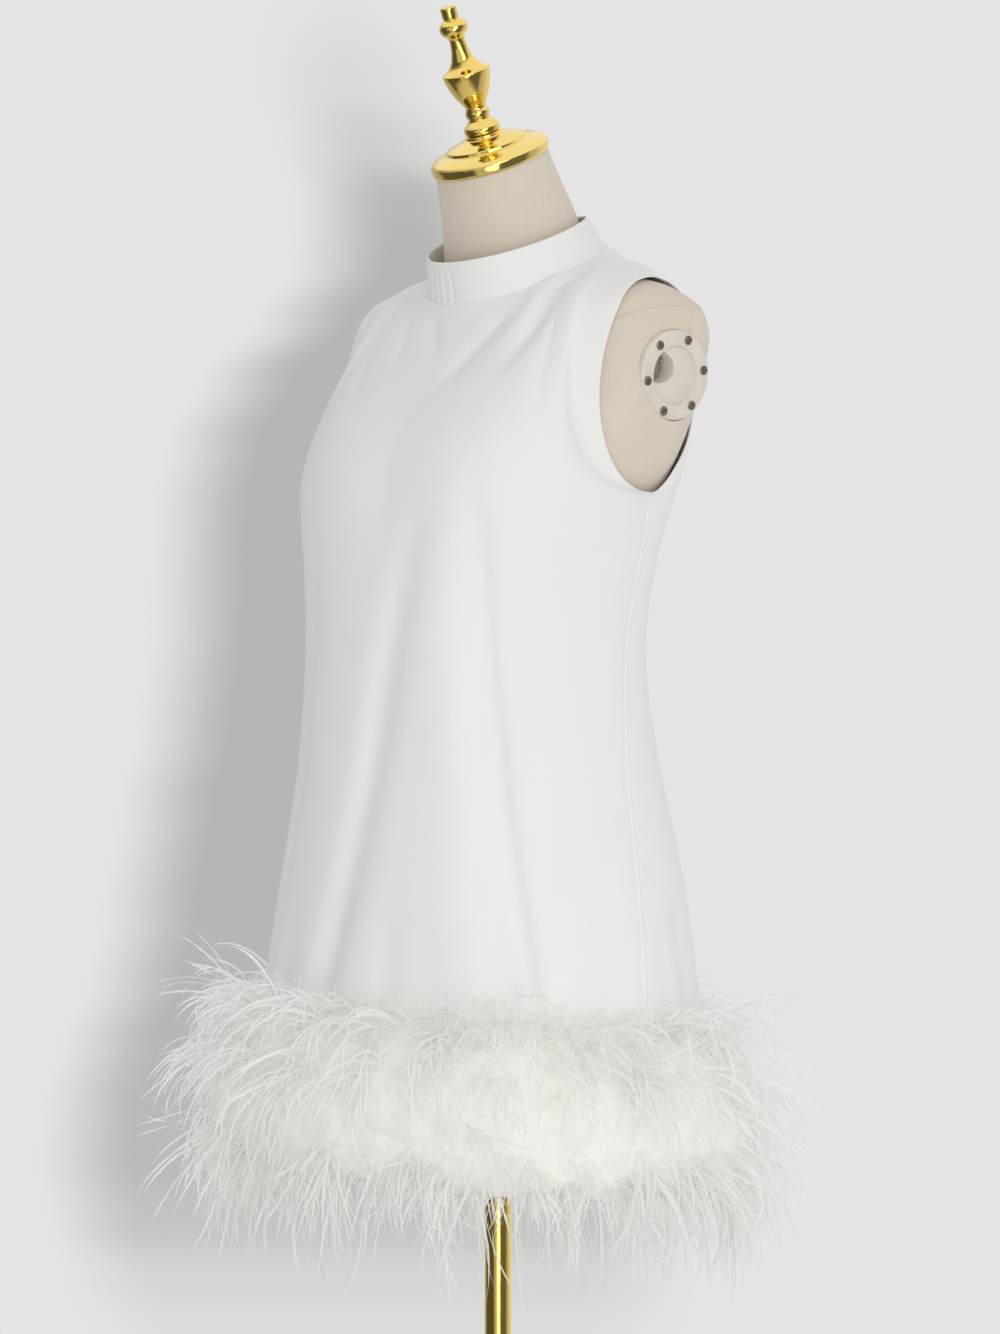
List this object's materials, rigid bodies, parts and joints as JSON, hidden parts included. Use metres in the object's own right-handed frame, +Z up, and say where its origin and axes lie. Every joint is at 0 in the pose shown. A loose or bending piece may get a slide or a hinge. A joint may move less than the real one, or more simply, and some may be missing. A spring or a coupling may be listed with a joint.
{
  "type": "shift dress on a dress form",
  "caption": "Sleeveless A-line shift dress with a stand collar and a layered feather hem, on a limbless linen dress form with a round stand.",
  "frame": {"origin": "middle of the base's underside, on the pole's axis", "axes": "+Z up the pole, -Y the way the form faces, +X towards the wearer's left"},
  "size_m": [0.6372, 0.5691, 1.6066],
  "materials": {
    "white_crepe": "matte satin-back crepe",
    "ostrich_feather": "soft ostrich barbs",
    "linen_cover": "plain linen weave",
    "polished_gold": "polished",
    "cream_plastic": "moulded, satin",
    "dark_bronze": "dark bronze"
  },
  "bodies": {
    "root": {"dress_front": "white_crepe", "dress_back_left": "white_crepe", "dress_back_right": "white_crepe", "collar": "white_crepe", "collar_button_lower": "white_crepe", "collar_button_upper": "white_crepe", "feather_trim_top": "ostrich_feather", "feather_trim_middle": "ostrich_feather", "feather_trim_bottom": "ostrich_feather", "form_torso": "linen_cover", "neck_cap": "polished_gold", "finial": "polished_gold", "arm_plate_left": "cream_plastic", "arm_plate_right": "cream_plastic", "stand_pole": "polished_gold", "stand_base": "polished_gold", "arm_screw_left_1": "dark_bronze", "arm_screw_left_2": "dark_bronze", "arm_screw_left_3": "dark_bronze", "arm_screw_left_4": "dark_bronze", "arm_screw_left_5": "dark_bronze", "arm_screw_left_6": "dark_bronze", "arm_screw_right_1": "dark_bronze", "arm_screw_right_2": "dark_bronze", "arm_screw_right_3": "dark_bronze", "arm_screw_right_4": "dark_bronze", "arm_screw_right_5": "dark_bronze", "arm_screw_right_6": "dark_bronze"}
  },
  "joints": []
}
